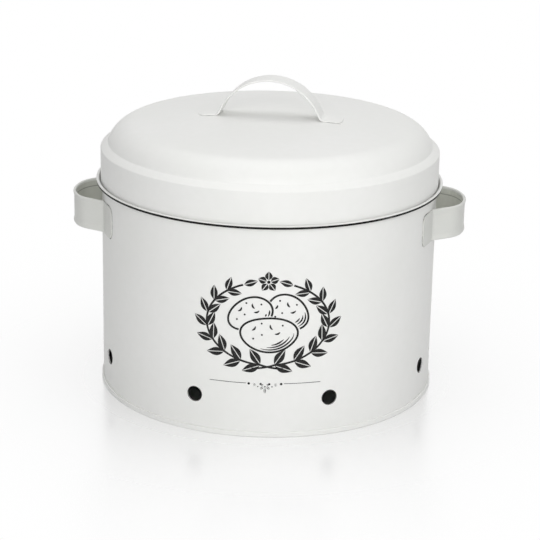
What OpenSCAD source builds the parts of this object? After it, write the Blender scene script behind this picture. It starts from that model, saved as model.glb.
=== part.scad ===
// Round steel storage bin for potatoes: a ventilated drum with two strap
// handles and a domed lid that lifts off. Every piece is formed sheet or wire.
// The axis of the drum is Z, the table is z = 0 and the front faces -Y.

/* [Body] */
// Outside diameter of the round wall
body_d = 280; // [240:2:340]
// Height from the table to the top of the rim
body_h = 176.5; // [140:0.5:240]
// Thickness of the body and lid sheet
sheet = 0.6; // [0.5:0.05:0.8]
// Width of the folded seam up the back of the wall
back_seam_w = 8; // [5:0.5:14]
// How far the back seam stands proud of the wall
back_seam_t = 0.6; // [0.4:0.1:1]

/* [Vent holes] */
// Diameter of a vent hole
vent_d = 12; // [6:0.5:20]
// Height of the vent centres above the table
vent_z = 31; // [20:0.5:60]
// Number of vents round the wall
vent_count = 8; // [4:4:16]

/* [Rim] */
// Diameter of the bare steel wire in the rim
wire_d = 2.2; // [1.6:0.1:2.6]
// Upright part of the rim between the lid's seat and the wire
seat_wall = 0.25; // [0.1:0.05:2]
// Flat width of the lid's seat
seat_flat = 0.45; // [0.3:0.05:1]
// Angle above level at which the lip over the wire stops
lip_angle = 45; // [10:1:60]

/* [Base] */
// Height of the folded seam round the bottom
seam_h = 4; // [3:0.5:8]
// How far the bottom seam stands proud of the wall
seam_proud = 1.4; // [1:0.1:2]
// Height of the bottom panel's underside above the table
floor_lift = 6; // [5:0.5:10]
// Diameter of the stiffening step pressed into the bottom panel
floor_step_d = 220; // [160:5:230]

/* [Side handles] */
// Width of the handle strap, from top edge to bottom edge
handle_w = 27; // [18:0.5:40]
// Height from the top edge of the strap up to the top of the rim
handle_below = 14; // [6:0.5:40]
// Finger space between the wall and the strap, at the middle
handle_reach = 23.4; // [20:0.2:40]
// Length of each handle foot along the wall
handle_foot = 21.5; // [12:0.5:30]
// Radius of the loop's long outer curve
handle_mid_r = 48; // [40:1:120]
// Radius of the loop's two outer corners
handle_corner_r = 24; // [14:0.5:30]

/* [Handle straps] */
// Thickness of the strap
strap_t = 0.8; // [0.6:0.1:1.2]
// Diameter of the rolled edge of a side strap
bead_d = 2.4; // [2:0.1:3]
// How far the rolled edge stands proud of the side strap's face
bead_proud = 0.7; // [0.3:0.1:1]
// Width of the edge folded back inside a strap
hem_w = 6; // [4:0.5:8]

/* [Lid] */
// Radius of the lid's skirt beyond the wall's
lid_over = 1; // [0.8:0.1:1.1]
// Height of the upright skirt
skirt_h = 26.2; // [16:0.2:40]
// Radius of the crease at the top of the skirt
crease_r = 1.5; // [1:0.1:4]
// Radius of the sloping ledge above the crease
ledge_r = 15; // [8:0.5:30]
// Steepness of the dome where it leaves the ledge
dome_slope = 74; // [60:1:84]
// Radius of the dome's shoulder
shoulder_r = 24.5; // [14:0.5:50]
// Radius of the nearly flat crown
crown_r = 1110; // [500:10:1600]
// Turn of the lid on the bin, as it was last put down
lid_turn = -8.5; // [-180:0.5:180]

/* [Lid handle] */
// Width of the lid's strap
lid_handle_w = 21; // [14:0.5:32]
// Height of the gap under the strap, at the middle
lid_handle_rise = 30.8; // [26:0.2:45]
// Radius of the strap's arch, measured inside
lid_handle_r = 44.9; // [36:0.1:50]
// Length of each foot on the lid
lid_handle_foot = 14; // [10:0.5:24]

/* [Locating collar] */
// How far the collar reaches below the lid's seat
collar_depth = 12; // [6:0.5:24]
// Running clearance between the collar and the wall
collar_gap = 0.7; // [0.3:0.1:1.5]
// Height of the collar's upper band, which is welded inside the skirt
collar_band = 8; // [4:0.5:10]

/* [Hidden] */

$fn = 96;
enamel = [0.93, 0.93, 0.91];
steel = [0.32, 0.32, 0.33];

// Clearances
weld_gap = 0.1;     // between two sheets that are welded or folded together
seat_gap = 0.3;     // under the lid's skirt, where it sits on the seat
cut = 1;            // how far a cutting shape runs past what it cuts

// A path is a list of moves: [0, length] runs straight on, and
// [radius, angle] bends round that radius, to the left when the angle is
// above zero and to the right when it is below. A spot on a path is
// [position, heading], and a heading of 0 points along +Y.
arc_step = 8;       // largest turn from one spot to the next
arc_length = 8;     // and the longest way, in a bend
function right_of(h) = [cos(h), sin(h)];
function ahead_of(h) = [-sin(h), cos(h)];
function degrees(length, r) = length / r * 180 / PI;
function rest(list) = [for (i = [1:1:len(list) - 1]) list[i]];
function reversed(list) = [for (i = [len(list) - 1:-1:0]) list[i]];
function after(m, spot) =
    let (p = spot[0], h = spot[1])
    m[0] == 0
        ? [p + m[1] * ahead_of(h), h]
        : [p + sign(m[1]) * m[0] * (right_of(h + m[1]) - right_of(h)), h + m[1]];
function path_end(moves, spot) =
    len(moves) == 0 ? spot : path_end(rest(moves), after(moves[0], spot));
function steps(m) =
    m[0] == 0 ? 1 : ceil(abs(m[1]) * max(1 / arc_step, m[0] / degrees(arc_length, 1)));
function spots(moves, spot) =
    len(moves) == 0
        ? [spot]
        : let (m = moves[0], n = steps(m))
            concat(
                [for (k = [0:n - 1]) after([m[0], m[1] * k / n], spot)],
                spots(rest(moves), after(m, spot))
            );

// Body
body_r = body_d / 2;
wall_in = body_r - sheet;

// Rim, from the top down
curl_r = wire_d / 2 + weld_gap;
wire_z = body_h - curl_r - sheet;
flare_in_r = 0.6;
flare_out_r = 2 * sheet;
seat_z = wire_z - seat_wall + sheet - flare_out_r;
wire_at = body_r + flare_in_r + seat_flat + flare_out_r + curl_r;
wall_top = seat_z - sheet - flare_in_r;

// Base
seam_floor = 2 * sheet;
pan_r = wall_in - weld_gap;
pan_corner_r = 2.5;
step_r = 3;
step_angle = 40;
seam_round = 0.5;

// Lid. The shoulder runs on until it is as steep as the crown is there.
lid_r = body_r + lid_over;
lid_z = seat_z + seat_gap;
crease_angle = 45;
ledge_angle = 20;
kink_r = 1.5;
kink_angle = crease_angle + ledge_angle + dome_slope - 90;
lid_side = [
    [0, skirt_h],
    [crease_r, crease_angle],
    [ledge_r, ledge_angle],
    [kink_r, -kink_angle]
];
dome_foot = path_end(lid_side, [[lid_r, lid_z], 0]);
shoulder_mid = dome_foot[0] - shoulder_r * right_of(dome_foot[1]);
crown_slope = asin(shoulder_mid.x / (crown_r - shoulder_r));
crown_mid = shoulder_mid.y - (crown_r - shoulder_r) * cos(crown_slope);

// Collar, from its slanted lead-in up to the joggle that takes it out to the
// inside of the skirt
collar_r = wall_in - collar_gap;
lead_angle = 12;
lead_in = [[0, 3], [3, lead_angle]];
lead_end = path_end(lead_in, [[0, 0], -lead_angle])[0];
joggle_lift = 0.5;
joggle_r = 2;
joggle_out = lid_r - sheet - weld_gap - collar_r;
joggle_angle = acos(1 - joggle_out / (2 * joggle_r));

// Strap handles
mid_angle = 24;
corner_angle = 36;
arch_angle = 66;
bend_r = 5;
foot_corner_r = 6;
blend_w = 3.5;
hem_edge = 0.3;

// Edges of the straps, each as [diameter, how far it stands proud]: rolled on
// the side handles, and folded flat on the lid handle
rolled = [bead_d, bead_proud];
folded = [2 * strap_t, 0];

// Edge view of a sheet that lies along the left of a path
module sheet_profile(moves, start, heading = 0) {
    line = spots(moves, [start, heading]);
    polygon(concat(
        [for (s = line) s[0]],
        [for (s = reversed(line)) s[0] - sheet * right_of(s[1])]
    ));
}

// Revolves a profile, of which anything past the axis is cut off
module revolve() {
    rotate_extrude() intersection() {
        children();
        square(2 * max(body_r, body_h));
    }
}

// Drum wall, with its vents, back seam, lid seat and the lip over the wire
module body_wall() {
    foot_z = seam_floor + weld_gap;
    color(enamel) difference() {
        union() {
            revolve() sheet_profile([
                [0, wall_top - foot_z],
                [flare_in_r, -90],
                [0, seat_flat],
                [flare_out_r, 90],
                [0, wire_z - seat_z + sheet - flare_out_r],
                [curl_r, -(180 - lip_angle)]
            ], [body_r, foot_z]);
            back_seam();
        }
        for (i = [0:vent_count - 1])
            rotate([0, 0, (i + 0.5) * 360 / vent_count])
                translate([wall_in - cut, 0, vent_z])
                    rotate([0, 90, 0]) cylinder(d = vent_d, h = sheet + 2 * cut);
    }
}

// Folded seam up the back, between the bottom seam and the lid seat
module back_seam() {
    base = seam_h + weld_gap;
    angle = degrees(back_seam_w, body_r);
    rotate([0, 0, 90 - angle / 2]) translate([0, 0, base])
        rotate_extrude(angle = angle) translate([body_r - sheet / 2, 0])
            square([sheet / 2 + back_seam_t, wall_top - base]);
}

// Bottom panel, whose edge folds round the foot of the wall as a double seam
module base_pan() {
    seam_r = body_r + seam_proud;
    seam_in = pan_r - sheet;
    floor_side = [
        [0, floor_lift + sheet - pan_corner_r],
        [pan_corner_r, 90],
        [0, pan_r - pan_corner_r - floor_step_d / 2],
        [step_r, step_angle],
        [step_r, -step_angle]
    ];
    color(enamel) revolve() {
        difference() {
            translate([seam_in, 0]) square([seam_r - seam_in, seam_h]);
            translate([pan_r, seam_floor]) square([sheet + 2 * weld_gap, seam_h]);
            for (top = [0, 1])
                translate([seam_r, top * seam_h]) mirror([0, top]) corner_waste(seam_round);
        }
        sheet_profile(concat(floor_side, [[0, floor_step_d / 2]]), [pan_r, 0]);
    }
}

// What a rounding of radius r takes off a corner at the origin of a shape
// that lies to the left and above
module corner_waste(r) {
    difference() {
        translate([-r, -cut]) square([r + cut, r + cut]);
        translate([-r, r]) circle(r);
    }
}

// Bare steel wire under the lip of the rim
module rim_wire() {
    color(steel) translate([0, 0, wire_z])
        rotate_extrude() translate([wire_at, 0]) circle(d = wire_d);
}

// Pressed lid: skirt, crease, ledge, shoulder and crown
module lid_shell() {
    dome = [
        [shoulder_r, dome_slope - crown_slope],
        [crown_r, crown_slope + degrees(cut, crown_r)]
    ];
    color(enamel) rotate([0, 0, lid_turn])
        revolve() sheet_profile(concat(lid_side, dome), [lid_r, lid_z]);
}

// Ring welded inside the skirt, which drops into the mouth of the drum
module lid_collar() {
    band = [
        [0, collar_depth + seat_gap + joggle_lift - lead_end.y],
        [joggle_r, -joggle_angle],
        [joggle_r, joggle_angle],
        [0, collar_band]
    ];
    foot = [collar_r - lead_end.x, seat_z - collar_depth];
    color(enamel) rotate([0, 0, lid_turn])
        revolve() sheet_profile(concat(lead_in, band), foot, -lead_angle);
}

// Half of a strap's cross-section, from the hem inside it round one edge to
// the face outside. The inner face is x = 0 and the edge is y = 0. The edge is
// turned over and hemmed where roll is 1, and plain where it is 0.
function strap_edge(bead, roll) =
    let (bead_r = bead[0] / 2, bead_x = strap_t + bead[1] - bead_r, r = strap_t / 2)
    concat(
        [[0, hem_w], [-roll * strap_t, hem_w - hem_edge]],
        [
            for (a = [180:30:360])
                (1 - roll) * [r + r * cos(a), r + r * sin(a)]
                    + roll * [bead_x + bead_r * cos(a), bead_r + bead_r * sin(a)]
        ],
        [[strap_t, bead_r + blend_w]]
    );

// Cross-section of a strap of width w at a station of its path, in space. A
// station is [position, heading, roll, share of the width], and "bead" is the
// size of the edge.
function strap_section(w, bead, station) =
    let (edge = strap_edge(bead, station[2]))
    [
        for (q = concat(edge, [for (e = reversed(edge)) [e.x, w - e.y]]))
            let (p = station[0] + q.x * right_of(station[1]))
            [p.x, p.y, (q.y - w / 2) * station[3]]
    ];

// Triangles that close an end of a loft: a fan on each half of the section
// and two triangles between the halves. The section has n points.
function cap(n) =
    let (m = n / 2)
    concat(
        [for (k = [0:m - 3]) [m - 1, k, k + 1]],
        [for (k = [m + 1:n - 2]) [m, k, k + 1]],
        [[0, m - 1, m], [0, m, n - 1]]
    );

// Skins a row of sections that have the same number of points
module loft(sections) {
    n = len(sections[0]);
    last = n * (len(sections) - 1);
    polyhedron(
        points = [for (s = sections) each s],
        faces = concat(
            [for (triangle = cap(n)) reversed(triangle)],
            [for (triangle = cap(n)) [for (i = triangle) last + i]],
            [
                for (j = [0:n:last - n], i = [0:n - 1])
                    let (a = j + i, b = j + (i + 1) % n)
                    each [[a, b, b + n], [a, b + n, a + n]]
            ]
        )
    );
}

// Straight leg and bend that bring a strap from the end of its loop down on
// the round surface that it is welded to. The surface passes through the
// origin, and its axis is at x = -surface_r.
function leg_moves(loop_end, surface_r) =
    let (
        h = loop_end[1],
        q = loop_end[0] + bend_r * right_of(h) + [surface_r, 0],
        along = q * ahead_of(h),
        reach = surface_r + weld_gap + bend_r,
        run = -along - sqrt(along * along - q * q + reach * reach),
        bend_mid = q + run * ahead_of(h)
    )
    [[0, run], [bend_r, atan2(bend_mid.y, bend_mid.x) - h]];

// Stations of a foot on a surface of radius r, from the bend to its end, which
// has rounded corners
function foot_stations(w, r, foot_len, bend_end) =
    let (
        straight = foot_len - foot_corner_r,
        parts = concat(
            [for (share = [0.25, 0.5, 0.75]) [share * straight, 1]],
            [
                for (c = [0:15:90])
                    [straight + foot_corner_r * sin(c), 1 - 2 * foot_corner_r * (1 - cos(c)) / w]
            ]
        )
    )
    [for (part = parts) concat(after([r, degrees(part[0], r)], bend_end), [0, part[1]])];

// Strap handle of width w, centred on z = 0, which stands off the surface by
// "reach" in the middle of its loop
module strap_handle(w, bead, reach, loop, surface_r, foot_len) {
    start = [[reach, 0], 0];
    leg = leg_moves(path_end(loop, start), surface_r);
    hemmed = spots(concat(loop, [leg[0]]), start);
    hem_end = hemmed[len(hemmed) - 1];
    n = steps(leg[1]);
    half = concat(
        [for (spot = hemmed) concat(spot, [1, 1])],
        [for (k = [1:n]) concat(after([leg[1][0], leg[1][1] * k / n], hem_end), [1 - k / n, 1])],
        foot_stations(w, surface_r + weld_gap, foot_len, after(leg[1], hem_end))
    );
    other_half = [for (s = reversed(half)) [[s[0].x, -s[0].y], -s[1], s[2], s[3]]];
    loft([for (s = concat(other_half, rest(half))) strap_section(w, bead, s)]);
}

// Loop handle on the +X side of the drum
module side_handle() {
    loop = [[handle_mid_r, mid_angle], [handle_corner_r, corner_angle]];
    handle_z = body_h - handle_below - handle_w / 2;
    color(enamel) translate([body_r, 0, handle_z])
        strap_handle(handle_w, rolled, handle_reach, loop, body_r, handle_foot);
}

module right_handle() {
    side_handle();
}

module left_handle() {
    rotate([0, 0, 180]) side_handle();
}

// Arched strap on top of the lid
module lid_handle() {
    loop = [[lid_handle_r, arch_angle]];
    color(enamel) translate([0, 0, crown_mid + crown_r]) rotate([0, 0, lid_turn])
        rotate([0, -90, -90])
            strap_handle(lid_handle_w, folded, lid_handle_rise, loop, crown_r, lid_handle_foot);
}

body_wall();
base_pan();
rim_wire();
left_handle();
right_handle();
lid_shell();
lid_collar();
lid_handle();
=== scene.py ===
"""Looks of the potato storage bin: coated sheet steel, a bare rim wire, the pressed
skin of the lid and a printed emblem, in soft studio light."""

from collections import namedtuple
import math

import bmesh
import bpy
from mathutils import Matrix, Vector


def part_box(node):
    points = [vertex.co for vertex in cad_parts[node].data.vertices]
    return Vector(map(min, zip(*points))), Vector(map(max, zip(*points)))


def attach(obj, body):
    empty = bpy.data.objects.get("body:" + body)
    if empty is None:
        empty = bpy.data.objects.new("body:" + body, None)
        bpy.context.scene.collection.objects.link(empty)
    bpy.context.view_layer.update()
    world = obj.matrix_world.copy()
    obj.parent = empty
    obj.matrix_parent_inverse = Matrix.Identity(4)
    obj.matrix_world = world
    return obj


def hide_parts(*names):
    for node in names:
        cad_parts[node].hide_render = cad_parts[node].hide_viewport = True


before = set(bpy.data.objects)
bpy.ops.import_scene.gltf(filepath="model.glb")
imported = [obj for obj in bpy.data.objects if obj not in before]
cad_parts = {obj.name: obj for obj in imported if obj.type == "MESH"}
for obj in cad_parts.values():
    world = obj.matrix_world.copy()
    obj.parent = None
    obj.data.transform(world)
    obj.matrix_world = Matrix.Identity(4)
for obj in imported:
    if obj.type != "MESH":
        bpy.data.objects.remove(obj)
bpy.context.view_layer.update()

MM = 0.001


# Sizes of the CAD pieces that no box in the frame gives

# How far the bottom seam and a handle's foot stand proud of the wall
SEAM_PROUD = 1.4 * MM
FOOT_PROUD = 0.9 * MM
# Width of the folded seam up the back
BACK_SEAM_W = 8 * MM
# Gap under the lid's skirt
SEAT_GAP = 0.3 * MM
# How far below a side strap's top its rolled edge ends and its hem shuts
BEAD_BELOW = 2.2 * MM
HEM_BELOW = 7 * MM
# Width of the lid's strap, and how far from the lid's middle its feet start and end
LID_STRAP_W = 21 * MM
LID_FEET = (45 * MM, 60 * MM)
# Turn of the lid on the bin, as it was last put down
LID_TURN = math.radians(-8.5)
# Radius of a vent, height of its middle, and how many there are round the wall
VENT_R = 6 * MM
VENT_Z = 31 * MM
VENTS = 8


# Sizes read from the frame

seam_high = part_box("base_pan")[1]
WALL_R = seam_high.x - SEAM_PROUD
lid_low, lid_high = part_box("lid_shell")
LID_R = lid_high.x
SEAT_Z = lid_low.z - SEAT_GAP
strap_low, strap_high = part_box("right_handle")
STRAP_W = strap_high.z - strap_low.z
STRAP_Z = (strap_low.z + strap_high.z) / 2
BEAD_Z = strap_high.z - BEAD_BELOW
HEM_Z = strap_high.z - HEM_BELOW
# Half the angle round the drum's axis that a handle takes, from foot to foot
FOOT_END = math.asin(strap_high.y / (WALL_R + FOOT_PROUD))


# Helpers for lines

def steps(start, end, count):
    """Evenly spaced values from start to end, both of them included."""
    return [start + (end - start) * k / count for k in range(count + 1)]


def pointed(angle):
    """Direction at an angle in degrees, anticlockwise from the right."""
    return Vector((math.cos(math.radians(angle)), math.sin(math.radians(angle))))


# Helpers for materials

def new_material(name):
    """A material with its principled shader, and a function that adds a node to it."""
    mat = bpy.data.materials.new(name)
    mat.use_nodes = True
    tree = mat.node_tree
    shader = tree.nodes["Principled BSDF"]

    def add(kind, inputs=None, **settings):
        node = tree.nodes.new(kind)
        for key, value in settings.items():
            setattr(node, key, value)
        for key, value in (inputs or {}).items():
            if isinstance(value, bpy.types.NodeSocket):
                tree.links.new(value, node.inputs[key])
            else:
                node.inputs[key].default_value = value
        return node

    return mat, shader, add


def link(mat, socket, target):
    mat.node_tree.links.new(socket, target)


def place_on(add):
    """Where a spot lies on the piece, in the part's own frame."""
    return add("ShaderNodeTexCoord").outputs["Object"]


def noise(add, place, scale, detail=2.0, roughness=0.5):
    """Factor output of a noise texture at a place."""
    inputs = {"Vector": place, "Scale": scale, "Detail": detail, "Roughness": roughness}
    return add("ShaderNodeTexNoise", inputs).outputs["Fac"]


def spread(add, value, low, high, start=0.3, end=0.7):
    """Maps start to end, which a texture's values mostly fill, onto low to high."""
    inputs = {"Value": value, "From Min": start, "From Max": end, "To Min": low, "To Max": high}
    return add("ShaderNodeMapRange", inputs).outputs["Result"]


def maths(add, operation, *values):
    return add("ShaderNodeMath", dict(enumerate(values)), operation=operation).outputs[0]


def vector_maths(add, operation, *values, output="Vector"):
    node = add("ShaderNodeVectorMath", dict(enumerate(values)), operation=operation)
    return node.outputs[output]


def part_of(add, place, axis):
    """One coordinate of a place, named by its letter."""
    return add("ShaderNodeSeparateXYZ", {0: place}).outputs[axis]


def from_axis(add, place):
    """The level way from the drum's axis to a place."""
    return vector_maths(add, "MULTIPLY", place, (1, 1, 0))


def blend_colours(add, factor, a, b):
    node = add("ShaderNodeMix", data_type="RGBA")
    for key, value in {"Factor": factor, "A": a, "B": b}.items():
        socket = [s for s in node.inputs if s.name == key and s.enabled][0]
        if isinstance(value, bpy.types.NodeSocket):
            node.id_data.links.new(value, socket)
        else:
            socket.default_value = value
    return [s for s in node.outputs if s.enabled][0]


# Materials

# Colours in linear light, in pairs where a texture blends them
WHITE_DEEP, WHITE_PALE = (0.845, 0.85, 0.825, 1), (0.875, 0.875, 0.86, 1)
# Tints of the straps' coat, darker and a little greener than the wall's
STRAP_DEEP, STRAP_PALE = (0.68, 0.69, 0.655, 1), (0.71, 0.715, 0.685, 1)
# Painted shade inside a strap's loop, where little light reaches
LOOP_SHADE = (0.58, 0.59, 0.535, 1)
# Painted shade in the groove where the lid sits
GROOVE_SHADE = (0.2, 0.2, 0.19, 1)
# Painted shadow in a shut gap: along a strap's hem and beside the lid handle's feet
SHUT_GAP_SHADE = (0.1, 0.1, 0.09, 1)
# Painted shade in an open gap, and the coat where it bridges the gap
OPEN_GAP_SHADE, BRIDGED_GAP = (0.09, 0.09, 0.085, 1), (0.7, 0.7, 0.68, 1)
# Near-black painted shade of the rim wire under its lip, and the wire's brighter scuffs
STEEL_SHADE, STEEL_SCUFFED = (0.004, 0.004, 0.0035, 1), (0.2, 0.2, 0.195, 1)
INK_THICK, INK_THIN = (0.006, 0.006, 0.006, 1), (0.018, 0.018, 0.017, 1)
# How much of a tint is left in the coat's dullest mottles
MOTTLE = 0.96
# Bump of the coat: its full height, and the shares that waves and orange peel take
BUMP = 0.6 * MM
WAVES, PEEL = 0.25, 0.008


def coating(name, deep, pale, marks=None):
    """Satin powder coat between two tints, uneven by a hair, with a fine orange peel.
    A function given as marks tints it further with painted shade, in hollows and gaps."""
    mat, shader, add = new_material(name)
    place = place_on(add)
    cloudy = noise(add, place, scale=14.0, detail=3.0)
    mottled = noise(add, place, scale=160.0)
    tint = blend_colours(add, spread(add, cloudy, low=0.0, high=1.0), deep, pale)
    dull = tuple(MOTTLE * part for part in deep[:3]) + (1,)
    tint = blend_colours(add, spread(add, mottled, low=0.0, high=0.25), tint, dull)
    if marks:
        tint = marks(add, place, tint)
    link(mat, tint, shader.inputs["Base Color"])
    link(mat, spread(add, cloudy, low=0.4, high=0.5), shader.inputs["Roughness"])
    peel = noise(add, place, scale=1400.0)
    wave = noise(add, place, scale=22.0, detail=1.0)
    height = maths(add, "MULTIPLY_ADD", wave, WAVES, maths(add, "MULTIPLY", peel, PEEL))
    bump = add("ShaderNodeBump", {"Height": height, "Strength": 1.0, "Distance": BUMP})
    link(mat, bump.outputs["Normal"], shader.inputs["Normal"])
    return mat


def strap_painted_shade(add, place, tint):
    """Painted shade inside the loop of a strap, and painted shadow along the shut edge of the hem
    there.
    """
    facing = add("ShaderNodeTexCoord").outputs["Normal"]
    outward = vector_maths(add, "NORMALIZE", from_axis(add, place))
    facing_out = vector_maths(add, "DOT_PRODUCT", outward, facing, output="Value")
    height = part_of(add, place, "Z")
    # Painted shade on the faces that look into the loop, below the rolled edge
    shaded_inside = spread(add, facing_out, low=1.0, high=0.0, start=-0.12, end=0.0)
    shaded_inside = maths(add, "MULTIPLY", shaded_inside, maths(add, "LESS_THAN", height, BEAD_Z))
    tint = blend_colours(add, shaded_inside, tint, LOOP_SHADE)
    # Painted shadow along the shut edge of the hem, inside the loop
    from_edge = maths(add, "ABSOLUTE", maths(add, "SUBTRACT", height, HEM_Z))
    edge = spread(add, from_edge, low=0.7, high=0.0, start=0.15 * MM, end=0.45 * MM)
    return blend_colours(add, maths(add, "MULTIPLY", edge, shaded_inside), tint, SHUT_GAP_SHADE)


def seat_painted_shade(add, place, tint):
    """Painted shade in the groove round the lid, where it sits on the wall."""
    r = vector_maths(add, "LENGTH", from_axis(add, place), output="Value")
    height = part_of(add, place, "Z")
    groove_shade = spread(add, r, low=0.6, high=0.0, start=LID_R + 1.2 * MM, end=LID_R + 1.9 * MM)
    groove_shade = maths(add, "MULTIPLY", groove_shade, maths(add, "GREATER_THAN", r, LID_R - 0.5 * MM))
    groove_shade = maths(add, "MULTIPLY", groove_shade, maths(add, "GREATER_THAN", height, SEAT_Z - 0.3 * MM))
    return blend_colours(add, groove_shade, tint, GROOVE_SHADE)


def lid_painted_shade(add, place, tint):
    """Painted shadow in the gap along the sides of the lid handle's feet, bridged here and there by
    the coat.
    """
    inputs = {"Vector": place, "Angle": -LID_TURN}
    turned = add("ShaderNodeVectorRotate", inputs, rotation_type="Z_AXIS").outputs[0]
    across = maths(add, "ABSOLUTE", part_of(add, turned, "Y"))
    along = maths(add, "ABSOLUTE", part_of(add, turned, "X"))
    # Painted shadow beside each side of the feet
    from_side = maths(add, "ABSOLUTE", maths(add, "SUBTRACT", across, LID_STRAP_W / 2))
    gap = spread(add, from_side, low=0.8, high=0.0, start=0.3 * MM, end=0.6 * MM)
    for way, end in zip(("GREATER_THAN", "LESS_THAN"), LID_FEET):
        gap = maths(add, "MULTIPLY", gap, maths(add, way, along, end))
    coat_there = noise(add, place, scale=150.0)
    unbridged = spread(add, coat_there, low=1.0, high=0.0, start=0.45, end=0.6)
    return blend_colours(add, maths(add, "MULTIPLY", gap, unbridged), tint, SHUT_GAP_SHADE)


def shaded_bare_steel():
    """Bare steel, painted near black for the shade that the wire lies in under the lip, with
    brighter scuffs that run along it.
    """
    mat, shader, add = new_material("shaded_bare_steel")
    place = place_on(add)
    scuffs = noise(add, place, scale=24.0, detail=5.0, roughness=0.7)
    grime = noise(add, place, scale=9.0)
    bright = spread(add, scuffs, low=0.0, high=1.0, start=0.58, end=0.8)
    link(mat, blend_colours(add, bright, STEEL_SHADE, STEEL_SCUFFED), shader.inputs["Base Color"])
    link(mat, spread(add, grime, low=0.45, high=0.6), shader.inputs["Roughness"])
    link(mat, bright, shader.inputs["Metallic"])
    shader.inputs["Specular IOR Level"].default_value = 0.15
    return mat


def ink():
    """Near-black print with a faint sheen, thinner in places."""
    mat, shader, add = new_material("ink")
    cover = noise(add, place_on(add), scale=220.0, detail=3.0)
    thin = spread(add, cover, low=0.0, high=1.0)
    link(mat, blend_colours(add, thin, INK_THICK, INK_THIN), shader.inputs["Base Color"])
    link(mat, spread(add, cover, low=0.25, high=0.4), shader.inputs["Roughness"])
    shader.inputs["Specular IOR Level"].default_value = 0.25
    return mat


def gap_shade():
    """Painted shade of the gap beside a welded or folded edge, which the coating bridges here and
    there.
    """
    mat, shader, add = new_material("gap_shade")
    coat_there = noise(add, place_on(add), scale=190.0)
    bridged = spread(add, coat_there, low=0.0, high=1.0, start=0.45, end=0.6)
    link(mat, blend_colours(add, bridged, OPEN_GAP_SHADE, BRIDGED_GAP), shader.inputs["Base Color"])
    shader.inputs["Roughness"].default_value = 0.8
    return mat


# Finish of the CAD pieces

# Edges that turn by more than this stay crisp
CRISP_TURN = math.radians(38)


def coat(piece, material):
    piece.data.materials.clear()
    piece.data.materials.append(material)
    piece.data.shade_smooth()
    split = piece.modifiers.new("sharp edges", "EDGE_SPLIT")
    split.split_angle = CRISP_TURN


def finish_pieces(wire_material):
    """Coats every CAD piece, and leaves the rim wire in its own material."""
    white = coating("coating", WHITE_DEEP, WHITE_PALE)
    strap_coat = coating("strap_coating", STRAP_DEEP, STRAP_PALE, strap_painted_shade)
    finishes = {
        "body_wall": coating("wall_coating", WHITE_DEEP, WHITE_PALE, seat_painted_shade),
        "left_handle": strap_coat,
        "right_handle": strap_coat,
        "rim_wire": wire_material,
    }
    for name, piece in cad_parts.items():
        coat(piece, finishes.get(name, white))


# Lid skin, in millimetres from the axis and above the table

SHEET = 0.6
SKIRT_H = 27.74
# Bends over the skirt, each with its radius and its turn in degrees
CREASE = (1.5, 50)
LEDGE = (39.35, 9)
# Radii of the kink at the dome's foot and of the two bends over the dome
KINK_R, SHOULDER_R, CROWN_R = 1.5, 24.5, 1110
# Slopes in degrees at which the kink and the shoulder end
DOME_SLOPE, CROWN_SLOPE = 69, 5.92
SEGMENTS = 192
# Largest turn in degrees and largest length from one spot of a bend to the next
BEND_STEP, BEND_LENGTH = 4, 6
# Spots closer than this are one
WELD = 0.02


def bend(line, r, turn):
    """Carries a line of (spot, facing) on round an arc; a turn above zero goes inwards. Facing
    is the way that the outside looks, in degrees: 0 is level, as on the skirt, and 90 is up."""
    start, facing = line[-1]
    side = math.copysign(r, turn)
    count = math.ceil(max(abs(turn) / BEND_STEP, math.radians(abs(turn)) * r / BEND_LENGTH))
    for angle in steps(0, turn, count)[1:]:
        spot = start + side * (pointed(facing + angle) - pointed(facing))
        line.append((spot, facing + angle))


def lid_line():
    """Outside of the lid's section: skirt, crease, ledge, kink, shoulder and crown. Skirt,
    shoulder and crown are the CAD lid's; crease and kink lie a little higher."""
    foot = Vector((LID_R, lid_low.z)) / MM
    line = [(foot, 0), (foot + Vector((0, SKIRT_H)), 0)]
    bend(line, *CREASE)
    bend(line, *LEDGE)
    bend(line, KINK_R, 90 - DOME_SLOPE - line[-1][1])
    bend(line, SHOULDER_R, DOME_SLOPE - CROWN_SLOPE)
    bend(line, CROWN_R, CROWN_SLOPE)
    return line


def lid_skin():
    """Pressed sheet, spun from its section."""
    line = lid_line()
    inside = [spot - SHEET * pointed(facing) for spot, facing in line]
    section = [spot for spot, facing in reversed(line)] + inside
    shape = bmesh.new()
    verts = [shape.verts.new((spot.x * MM, 0, spot.y * MM)) for spot in section]
    edges = [shape.edges.new(pair) for pair in zip(verts, verts[1:])]
    bmesh.ops.spin(
        shape, geom=verts + edges, cent=(0, 0, 0), axis=(0, 0, 1), angle=2 * math.pi, steps=SEGMENTS
    )
    bmesh.ops.remove_doubles(shape, verts=shape.verts, dist=WELD * MM)
    bmesh.ops.recalc_face_normals(shape, faces=shape.faces)
    mesh = bpy.data.meshes.new("lid_skin")
    shape.to_mesh(mesh)
    shape.free()
    skin_piece = bpy.data.objects.new("lid_skin", mesh)
    bpy.context.collection.objects.link(skin_piece)
    coat(skin_piece, coating("lid_coating", WHITE_DEEP, WHITE_PALE, lid_painted_shade))
    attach(skin_piece, "lid")
    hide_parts("lid_shell")


# Strips that lie on the wall

# A point is (way to the right round the wall, height) in millimetres, and a strip is
# the two rails, point by point, that it lies between. The print lies over the marks.
MARK_LIFT = 0.1 * MM
PRINT_LIFT = 0.12 * MM


def on_wall(point, lift):
    """Where a point of a strip lies, lifted off the wall, in metres."""
    angle = point[0] * MM / WALL_R
    r = WALL_R + lift
    return r * math.sin(angle), -r * math.cos(angle), point[1] * MM


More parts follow.
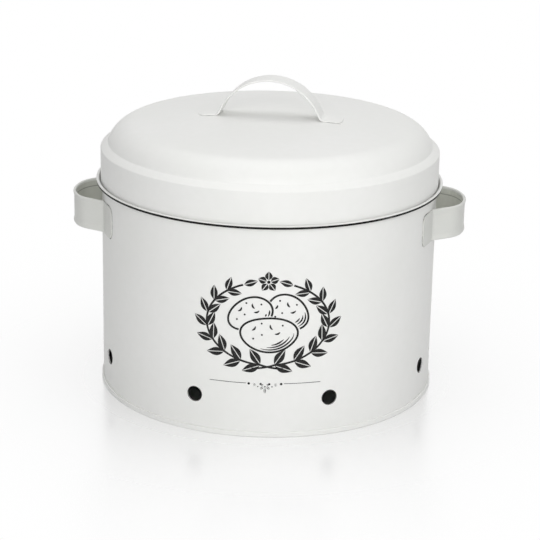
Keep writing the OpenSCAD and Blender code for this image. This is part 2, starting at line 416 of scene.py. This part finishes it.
def wall_piece(name, strips, material, lift):
    """One mesh of all the strips, which rides on the bin."""
    verts, faces = [], []
    for left, right in strips:
        first = len(verts)
        for pair in zip(left, right):
            verts += [on_wall(point, lift) for point in pair]
        last = first + 2 * len(left) - 2
        faces += [(k, k + 1, k + 3, k + 2) for k in range(first, last, 2)]
    mesh = bpy.data.meshes.new(name)
    mesh.from_pydata(verts, [], faces)
    mesh.materials.append(material)
    piece = bpy.data.objects.new(name, mesh)
    bpy.context.collection.objects.link(piece)
    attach(piece, "bin")


def stroke(points, width, taper=0.0):
    """Strip along a line, which narrows towards its ends by the share called taper."""
    points = [Vector(p) for p in points]
    last = len(points) - 1
    left, right = [], []
    for k, point in enumerate(points):
        along = (points[min(k + 1, last)] - points[max(k - 1, 0)]).normalized()
        half = width / 2 * (1 - taper * (2 * k / last - 1) ** 2)
        side = half * Vector((-along.y, along.x))
        left.append(point + side)
        right.append(point - side)
    return left, right


def dot(middle, r):
    """Round spot, as the one strip between its upper and its lower half."""
    upper = [middle + r * pointed(a) for a in range(0, 181, 20)]
    return [(upper, [Vector((p.x, 2 * middle.y - p.y)) for p in upper])]


# Wreath of two leafy sprigs with a blossom on top

# Middle of the wreath, and half its width and height
EMBLEM_AT = Vector((4, 95.5))
WREATH_HALF = Vector((49, 34.5))
# Width of the stems and of the potatoes' outlines
LINE = 1.6
# Length and width of the lowest leaves, and how far each leaf turns away from its stem
LEAF = Vector((15, 7.4))
LEAF_SPLAY = 38
LEAF_PAIRS = 8
# Where a sprig's stem ends, where its first leaves grow and where its tip is, round the wreath
STEM_FOOT, FIRST_LEAVES, STEM_TIP = -103, -84, 66
# Angle below which the wreath gets wider, where the stems cross, and by how much each degree
FLARE_BELOW, STEM_FLARE = -83, 0.006
# Share of its length and width that the leaf at the tip lacks
LEAF_SHRINK = 0.25
# How far a leaf starts from the stem's middle line
LEAF_OFF = 0.9
# Bare line along a leaf's middle
RIB_GAP = 0.6
# Power that puts a leaf's widest spot a little nearer its base
LEAF_LEAN = 0.85
# Length and width of a petal, and how far from the blossom's middle it starts
PETAL = Vector((7, 5.8))
PETAL_OFF = 1.7
BLOSSOM_DOT_R = 1.3


def leaf(base, angle, length, width):
    """Pointed leaf in two halves, with its rib left bare between them."""
    along, side = pointed(angle), pointed(angle + 90)
    halves = []
    for hand in (1, -1):
        rib, edge = [], []
        for share in steps(0, 1, 10):
            middle = base + share * length * along
            half = width / 2 * math.sin(math.pi * share ** LEAF_LEAN)
            rib.append(middle + hand * min(RIB_GAP / 2, half) * side)
            edge.append(middle + hand * half * side)
        halves.append((rib, edge))
    return halves


def sprig(hand):
    """One side of the wreath, from the crossed stems up to the tip; hand is 1 right, -1 left."""
    def stem(angle):
        below = max(0, FLARE_BELOW - angle)
        spot = (1 + STEM_FLARE * below) * pointed(angle)
        return EMBLEM_AT + Vector((hand * spot.x * WREATH_HALF.x, spot.y * WREATH_HALF.y))

    strips = [stroke([stem(a) for a in steps(STEM_FOOT, STEM_TIP, 60)], LINE)]
    for k, angle in enumerate(steps(FIRST_LEAVES, STEM_TIP, LEAF_PAIRS)):
        ahead = stem(angle + 1) - stem(angle - 1)
        heading = math.degrees(math.atan2(ahead.y, ahead.x))
        length, width = (1 - LEAF_SHRINK * k / LEAF_PAIRS) * LEAF
        for turn in (LEAF_SPLAY, -LEAF_SPLAY) if k < LEAF_PAIRS else (0,):
            way = heading + turn
            strips += leaf(stem(angle) + LEAF_OFF * pointed(way), way, length, width)
    return strips


def blossom(middle):
    """Five-petalled flower with a dot in the middle."""
    strips = dot(middle, BLOSSOM_DOT_R)
    for angle in range(90, 450, 72):
        strips += leaf(middle + PETAL_OFF * pointed(angle), angle, *PETAL)
    return strips


# Thin rule under the emblem, with a small ornament in its middle

RULE_AT = Vector((2.5, 45.4))
RULE_LINE = 0.45
# How far from the middle each half of the line starts and ends
RULE_HALF = (15, 44.5)
# The ornament's leaves as (angle, length), and where they start
RULE_LEAVES = [(-90, 6), (-35, 4), (-145, 4), (20, 2.4), (160, 2.4)]
RULE_LEAF_W = 1.7
RULE_LEAVES_AT = Vector((0, -2))
RULE_LEAF_OFF = 1.2
# Its dot in the middle as (up, radius), and those on each side as (across, up, radius)
RULE_HEART = (-2.6, 0.6)
RULE_DOTS = [(12.8, -0.3, 1.0), (3.4, -0.4, 0.9), (5.6, -2.6, 0.5)]
# Pair of small leaves on each side: where they start, how far they spread, and their size
RULE_PAIR_AT = (6.8, -1.1)
RULE_PAIR_TURN = 18
RULE_PAIR_LEAF = (3.6, 1.1)


def rule():
    """Thin line on each side of a small ornament of leaves and dots."""
    up, r = RULE_HEART
    strips = dot(RULE_AT + Vector((0, up)), r)
    for angle, length in RULE_LEAVES:
        base = RULE_AT + RULE_LEAVES_AT + RULE_LEAF_OFF * pointed(angle)
        strips += leaf(base, angle, length, RULE_LEAF_W)
    for hand in (-1, 1):
        line = [RULE_AT + Vector((hand * x, 0)) for x in steps(*RULE_HALF, 12)]
        strips.append(stroke(line, RULE_LINE))
        for across, up, r in RULE_DOTS:
            strips += dot(RULE_AT + Vector((hand * across, up)), r)
        across, up = RULE_PAIR_AT
        for turn in (-RULE_PAIR_TURN, RULE_PAIR_TURN):
            base = RULE_AT + Vector((hand * across, up))
            strips += leaf(base, 90 - hand * (90 - turn), *RULE_PAIR_LEAF)
    return strips


# Three potatoes inside the wreath

Potato = namedtuple("Potato", "middle half tilt lump")

# Front to back: middle in the emblem, half length and half width, tilt, and a
# number that shapes the lumps
POTATOES = [
    Potato(Vector((1, -9)), Vector((22, 14.5)), -5, 0.4),
    Potato(Vector((-14, 8)), Vector((17.5, 13)), 28, 2.1),
    Potato(Vector((15, 9)), Vector((18, 13.5)), -24, 4.4),
]
# Shading lines along the lower right side, as (share of the way to the skin, start, end)
SHADING = [(0.86, -112, 12), (0.73, -98, -4), (0.6, -84, -22)]
# A potato's eyes, as (angle, share of the way to the skin, slant)
EYES = [(150, 0.6, 50), (80, 0.45, -65), (15, 0.3, 20)]
# Its spots, as (angle, share of the way to the skin)
SPOTS = [(112, 0.72), (48, 0.7), (185, 0.25), (205, 0.62)]
# Width and taper of the shading lines and of the eyes
SHADING_LINE, EYE_LINE = (1.3, 0.8), (1.5, 0.7)
EYE_HALF = 2.2
# How far an eye's ends bend up from its middle, and how low its middle lies
EYE_BEND, EYE_LOW = 0.8, 0.3
SPOT_R = 0.75
# Bare line round a potato that lies in front of another
BARE = 1.3
# Heights of the two broad and the three narrower lumps round a potato
BROAD_LUMP, NARROW_LUMP = 0.05, 0.035


def lumpy(angle, lump):
    """How far a potato's skin lies from its middle, as a share of a plain ellipse's way."""
    a = math.radians(angle)
    return 1 + BROAD_LUMP * math.sin(2 * a + lump) + NARROW_LUMP * math.sin(3 * a - lump)


def on_potato(potato, angle, share=1.0):
    """Point of the emblem at an angle and a share of the way to the potato's skin."""
    spot = share * lumpy(angle, potato.lump) * pointed(angle)
    spot = Vector((spot.x * potato.half.x, spot.y * potato.half.y))
    return EMBLEM_AT + potato.middle + Matrix.Rotation(math.radians(potato.tilt), 2) @ spot


def covers(potato, point):
    """Whether a point of the emblem lies on a potato or in the bare line round it."""
    upright = Matrix.Rotation(-math.radians(potato.tilt), 2)
    spot = upright @ (point - EMBLEM_AT - potato.middle)
    spot = Vector((spot.x / (potato.half.x + BARE), spot.y / (potato.half.y + BARE)))
    return spot.length < lumpy(math.degrees(math.atan2(spot.y, spot.x)), potato.lump)


def seen_runs(points, fronts):
    """The stretches of a line that no potato in front covers."""
    runs = [[]]
    for point in points:
        if not any(covers(front, point) for front in fronts):
            runs[-1].append(point)
        elif runs[-1]:
            runs.append([])
    return [run for run in runs if len(run) > 2]


def potato_lines(potato, fronts):
    """Outline, shading lines, eyes and spots, as far as they show."""
    lines = [([on_potato(potato, a) for a in range(0, 363, 3)], LINE, 0.0)]
    for share, start, end in SHADING:
        shading = [on_potato(potato, a - potato.tilt, share) for a in range(start, end, 4)]
        lines.append((shading, *SHADING_LINE))
    for angle, share, slant in EYES:
        eye = on_potato(potato, angle - potato.tilt, share)
        along, bow = pointed(slant), pointed(slant + 90)
        ways = [(EYE_HALF * s, EYE_BEND * s * s - EYE_LOW) for s in steps(-1, 1, 6)]
        hollow = [eye + way * along + rise * bow for way, rise in ways]
        lines.append((hollow, *EYE_LINE))
    strips = []
    for points, width, taper in lines:
        strips += [stroke(run, width, taper) for run in seen_runs(points, fronts)]
    for angle, share in SPOTS:
        spot = on_potato(potato, angle - potato.tilt, share)
        if not any(covers(front, spot) for front in fronts):
            strips += dot(spot, SPOT_R)
    return strips


def emblem():
    """Wreath, blossom, rule and potatoes, as one print on the front."""
    strips = sprig(1) + sprig(-1) + blossom(EMBLEM_AT + Vector((0, WREATH_HALF.y))) + rule()
    for k, potato in enumerate(POTATOES):
        strips += potato_lines(potato, POTATOES[:k])
    wall_piece("front_print", strips, ink(), PRINT_LIFT)


# Marks on the wall, in millimetres

WALL_HALF_ROUND = math.pi * WALL_R / MM
# How far a painted gap shadow lies outside the edge that it follows
GAP_OFF = 0.2
# Round a handle's foot: width of the painted gap shadow, radius of the corners, and how far the
# shadow runs back
FOOT_GAP_W = 0.5
FOOT_CORNER_R = 6
FOOT_GAP_RUN = 14
SEAM_EDGE_W = 0.4
# How far the seam's line ends above the bottom seam, and below the lid's seat
SEAM_EDGE_ENDS = (1, 3)
# Ring round a vent: its width, and how far its middle line lies outside the hole
VENT_EDGE_W = 0.6
VENT_EDGE_OFF = 0.15


def foot_gap_shadows():
    """Painted shadow of the thin gap round the end of each handle's foot."""
    top = STRAP_W / MM / 2 + GAP_OFF
    reach = FOOT_END * WALL_R / MM + GAP_OFF
    middle_up = Vector((0, STRAP_Z / MM))
    strips = []
    for handle_at in (-WALL_HALF_ROUND / 2, WALL_HALF_ROUND / 2):
        for way in (-1, 1):
            end = handle_at + way * reach
            round_at = Vector((end - way * FOOT_CORNER_R, top - FOOT_CORNER_R))
            line = [Vector((end - way * FOOT_GAP_RUN, top))]
            line += [round_at + FOOT_CORNER_R * pointed(90 - way * a) for a in range(0, 91, 15)]
            line += [Vector((p.x, -p.y)) for p in reversed(line)]
            strips.append(stroke([p + middle_up for p in line], FOOT_GAP_W))
    wall_piece("foot_gap_shadows", strips, gap_shade(), MARK_LIFT)


def seam_edge():
    """Shadow line along the free edge of the fold up the back."""
    edge = WALL_HALF_ROUND + BACK_SEAM_W / MM / 2 + GAP_OFF
    above, below = SEAM_EDGE_ENDS
    ends = [(edge, seam_high.z / MM + above), (edge, SEAT_Z / MM - below)]
    line = stroke(ends, SEAM_EDGE_W)
    wall_piece("seam_edge", [line], gap_shade(), MARK_LIFT)


def vent_edges(material):
    """Near-black ring of bare steel where the punch left each vent's edge; it is also painted shade
    that makes each dark hole look a little wider.
    """
    pitch = 2 * WALL_HALF_ROUND / VENTS
    r = VENT_R / MM + VENT_EDGE_OFF
    strips = []
    for k in range(VENTS):
        middle = Vector(((k + 0.5) * pitch, VENT_Z / MM))
        edge = [middle + r * pointed(a) for a in steps(0, 360, 40)]
        strips.append(stroke(edge, VENT_EDGE_W))
    wall_piece("vent_edges", strips, material, MARK_LIFT)


# Studio

FLOOR_HALF = 3.0
FLOOR_GREY = (0.79, 0.79, 0.79, 1)
WHITE = (1, 1, 1, 1)
SKY_LIGHT = 0.3
LAMPS_AIM = Vector((0, 0, 0.12))


def seen_ray(tree):
    """1 for what the camera sees, straight or in a reflection, and 0 for what only lights."""
    rays = tree.nodes.new("ShaderNodeLightPath").outputs
    seen = rays["Is Camera Ray"]
    for other in ("Is Glossy Ray", "Is Transmission Ray"):
        either = tree.nodes.new("ShaderNodeMath")
        either.operation = "MAXIMUM"
        tree.links.new(seen, either.inputs[0])
        tree.links.new(rays[other], either.inputs[1])
        seen = either.outputs[0]
    return seen


def floor_finish():
    """Grey that takes the bin's shade and a soft reflection close to it, and plain white
    further off. The reflection shows to the camera alone, so that it doesn't light the bin."""
    mat, shader, add = new_material("floor")
    shader.inputs["Base Color"].default_value = FLOOR_GREY
    shader.inputs["Roughness"].default_value = 1.0
    shader.inputs["Specular IOR Level"].default_value = 0.0
    off = vector_maths(add, "LENGTH", place_on(add), output="Value")

    def fading(at_bin, over):
        """A share that falls off away from the bin's foot, to about a third over a distance."""
        turns = maths(add, "DIVIDE", maths(add, "SUBTRACT", seam_high.x, off), over)
        return maths(add, "MULTIPLY", maths(add, "EXPONENT", turns), at_bin)

    white = add("ShaderNodeEmission", {"Color": WHITE, "Strength": 1.0})
    unshaded = maths(add, "SUBTRACT", 1.0, fading(at_bin=0.38, over=0.06))
    bleached = maths(add, "MULTIPLY", unshaded, seen_ray(mat.node_tree))
    ground = add("ShaderNodeMixShader", {0: bleached, 1: shader.outputs[0], 2: white.outputs[0]})
    mirror = add("ShaderNodeBsdfGlossy", {"Color": WHITE, "Roughness": 0.25})
    looked_at = add("ShaderNodeLightPath").outputs["Is Camera Ray"]
    gloss = maths(add, "MULTIPLY", fading(at_bin=0.5, over=0.08), looked_at)
    both = add("ShaderNodeMixShader", {0: gloss, 1: ground.outputs[0], 2: mirror.outputs[0]})
    link(mat, both.outputs[0], mat.node_tree.nodes["Material Output"].inputs["Surface"])
    return mat


def floor():
    """Level ground under the bin."""
    signs = [(-1, -1), (1, -1), (1, 1), (-1, 1)]
    corners = [(FLOOR_HALF * x, FLOOR_HALF * y, 0) for x, y in signs]
    mesh = bpy.data.meshes.new("floor")
    mesh.from_pydata(corners, [], [(0, 1, 2, 3)])
    mesh.materials.append(floor_finish())
    piece = bpy.data.objects.new("floor", mesh)
    bpy.context.collection.objects.link(piece)


def sky():
    """White to the camera and in reflections, and a soft grey to all that the sky lights."""
    world = bpy.data.worlds.new("studio")
    bpy.context.scene.world = world
    world.use_nodes = True
    tree = world.node_tree
    light = tree.nodes["Background"]
    light.inputs["Color"].default_value = WHITE
    light.inputs["Strength"].default_value = SKY_LIGHT
    white = tree.nodes.new("ShaderNodeBackground")
    white.inputs["Color"].default_value = WHITE
    mix = tree.nodes.new("ShaderNodeMixShader")
    tree.links.new(seen_ray(tree), mix.inputs[0])
    tree.links.new(light.outputs[0], mix.inputs[1])
    tree.links.new(white.outputs[0], mix.inputs[2])
    tree.links.new(mix.outputs[0], tree.nodes["World Output"].inputs["Surface"])


def area_light(name, at, size, power):
    """Lamp at a place in metres, turned to the middle of the bin, with its power in watts."""
    data = bpy.data.lights.new(name, "AREA")
    data.shape = "RECTANGLE"
    data.size, data.size_y = size
    data.energy = power
    lamp = bpy.data.objects.new(name, data)
    bpy.context.collection.objects.link(lamp)
    lamp.location = at
    lamp.rotation_mode = "QUATERNION"
    lamp.rotation_quaternion = (LAMPS_AIM - Vector(at)).to_track_quat("-Z", "Y")


def camera():
    """Long lens a little above the rim, with the slight tilt that the photograph has."""
    azimuth, elevation, roll = math.radians(1.2), math.radians(18.47), math.radians(1.13)
    distance = 1569.5 * MM
    aim = Vector((1.81, 0, 93.2)) * MM
    data = bpy.data.cameras.new("camera")
    data.sensor_width = 36.0
    data.lens = 122.73
    data.clip_start, data.clip_end = 0.1, 20.0
    cam = bpy.data.objects.new("camera", data)
    bpy.context.collection.objects.link(cam)
    back = Vector((
        math.sin(azimuth) * math.cos(elevation),
        -math.cos(azimuth) * math.cos(elevation),
        math.sin(elevation),
    ))
    level = Vector((0, 0, 1)).cross(back).normalized()
    right = math.cos(roll) * level + math.sin(roll) * back.cross(level)
    turn = Matrix((right, back.cross(right), back)).transposed()
    cam.matrix_world = Matrix.Translation(aim + distance * back) @ turn.to_4x4()
    bpy.context.scene.camera = cam


steel = shaded_bare_steel()
finish_pieces(steel)
lid_skin()
emblem()
foot_gap_shadows()
seam_edge()
vent_edges(steel)
floor()
sky()
area_light("key", at=(0, -1.5, 0.7), size=(1.2, 0.9), power=12)
area_light("top", at=(0, 0.3, 1.7), size=(1.4, 1.4), power=10.5)
area_light("right", at=(1.06, -0.89, 0.92), size=(0.7, 0.7), power=3)
camera()

scene = bpy.context.scene
scene.view_settings.view_transform = "Standard"
